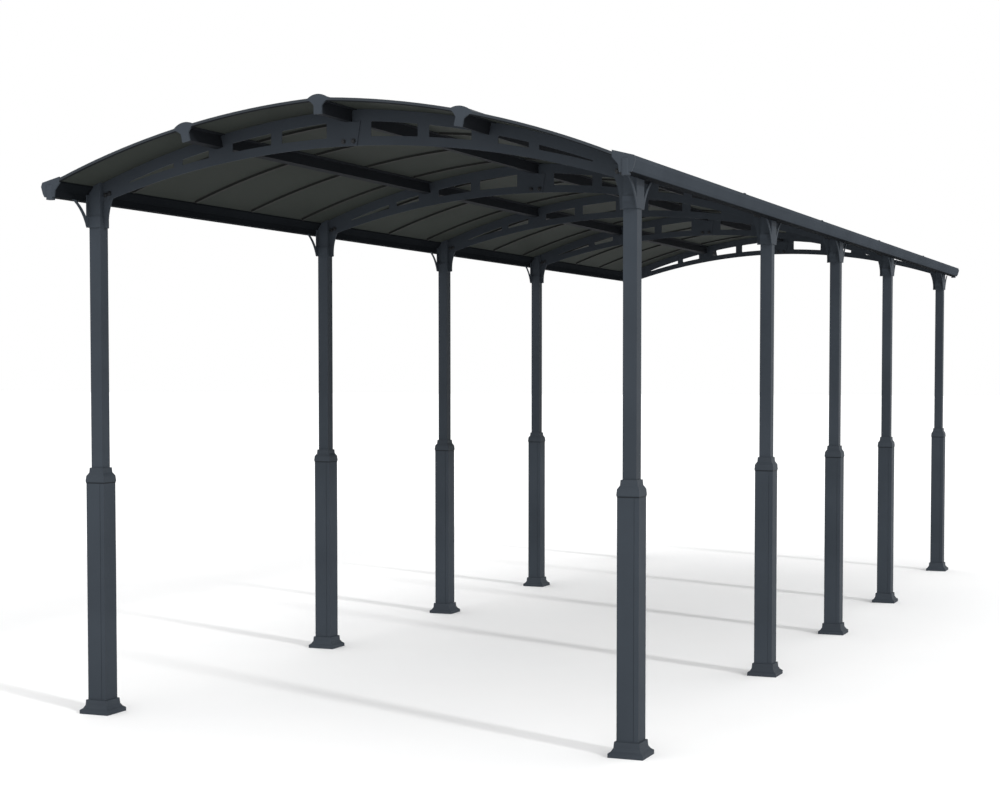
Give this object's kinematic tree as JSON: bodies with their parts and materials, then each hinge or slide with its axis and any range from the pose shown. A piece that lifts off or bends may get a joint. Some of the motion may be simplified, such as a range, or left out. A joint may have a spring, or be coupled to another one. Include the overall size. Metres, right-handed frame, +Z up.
{
  "type": "carport",
  "caption": "Long open carport with an arched smoked roof on lattice-cut plate trusses, sleeved square posts with flared feet and a gutter along each side.",
  "frame": {"origin": "on the ground at the middle of the footprint", "axes": "+X across the carport, to the right when seen from the front end; +Y along its length, away from the front end; +Z up"},
  "size_m": [3.606, 10.806, 3.5398],
  "materials": {
    "frame_coat": "fine satin powder coat, anthracite grey",
    "sleeve_coat": "fine satin powder coat, anthracite grey",
    "bracket_coat": "fine satin powder coat, anthracite grey",
    "truss_coat": "fine satin powder coat, anthracite grey",
    "gutter_coat": "satin powder coat, anthracite grey",
    "purlin_coat": "satin powder coat, near black",
    "cover_coat": "satin powder coat, anthracite grey",
    "trim_coat": "satin powder coat, anthracite grey",
    "collar_plastic": "moulded, fine grained, anthracite grey",
    "foot_plastic": "moulded, fine grained, anthracite grey",
    "cap_plastic": "moulded, fine grained, anthracite grey",
    "joint_strip": "dark extruded strip",
    "roof_sheet": "smoked twin-wall roofing sheet, dark olive grey"
  },
  "bodies": {
    "root": {"post_left_1": "frame_coat", "post_left_2": "frame_coat", "post_left_3": "frame_coat", "post_left_4": "frame_coat", "post_left_5": "frame_coat", "left_post_sleeves": "sleeve_coat", "left_post_collars": "collar_plastic", "left_post_feet": "foot_plastic", "left_head_brackets": "bracket_coat", "left_gutter": "gutter_coat", "left_purlin": "purlin_coat", "left_purlin_cover": "cover_coat", "left_ridge_sheets": "roof_sheet", "left_eave_sheets": "roof_sheet", "left_sheet_joiners": "joint_strip", "post_right_1": "frame_coat", "post_right_2": "frame_coat", "post_right_3": "frame_coat", "post_right_4": "frame_coat", "post_right_5": "frame_coat", "right_post_sleeves": "sleeve_coat", "right_post_collars": "collar_plastic", "right_post_feet": "foot_plastic", "right_head_brackets": "bracket_coat", "right_gutter": "gutter_coat", "right_purlin": "purlin_coat", "right_purlin_cover": "cover_coat", "right_ridge_sheets": "roof_sheet", "right_eave_sheets": "roof_sheet", "right_sheet_joiners": "joint_strip", "ridge_purlin": "purlin_coat", "ridge_cover": "cover_coat", "front_gutter_caps": "cap_plastic", "front_purlin_caps": "cap_plastic", "front_edge_trims": "trim_coat", "rear_gutter_caps": "cap_plastic", "rear_purlin_caps": "cap_plastic", "rear_edge_trims": "trim_coat", "truss_1_left": "truss_coat", "truss_1_right": "truss_coat", "truss_2_left": "truss_coat", "truss_2_right": "truss_coat", "truss_3_left": "truss_coat", "truss_3_right": "truss_coat", "truss_4_left": "truss_coat", "truss_4_right": "truss_coat", "truss_5_left": "truss_coat", "truss_5_right": "truss_coat"}
  },
  "joints": []
}
